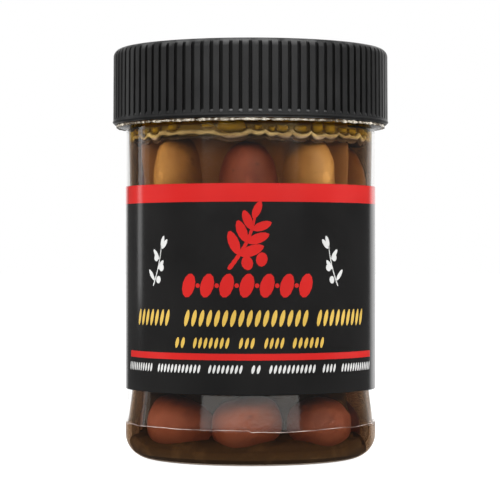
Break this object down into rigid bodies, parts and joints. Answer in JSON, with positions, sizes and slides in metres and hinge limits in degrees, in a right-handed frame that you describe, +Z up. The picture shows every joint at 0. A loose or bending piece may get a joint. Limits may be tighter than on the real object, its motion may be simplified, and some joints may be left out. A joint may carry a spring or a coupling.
{
  "type": "jar of olives",
  "caption": "Clear plastic jar of olives in brine under oil, with a ribbed black screw lid, a clear sleeve and a plain black and red printed label.",
  "frame": {"origin": "middle of the foot, on the surface that the jar stands on", "axes": "+Z up along the jar's axis, -Y towards the label's front"},
  "size_m": [0.08, 0.08, 0.118],
  "materials": {
    "clear_plastic": "clear, glossy",
    "lid_plastic": "moulded, satin",
    "clear_film": "clear film, glossy",
    "label_black": "printed film, satin",
    "label_red": "printed ink",
    "label_yellow": "printed ink",
    "label_white": "printed ink",
    "brine": "murky brown liquid",
    "oil": "clear yellow oil",
    "olive_tan": "wet olive skin",
    "olive_red": "wet olive skin"
  },
  "bodies": {
    "root": {"jar": "clear_plastic", "lid": "lid_plastic", "sleeve": "clear_film", "label": "label_black", "brine": "brine", "oil": "oil"}
  },
  "joints": []
}
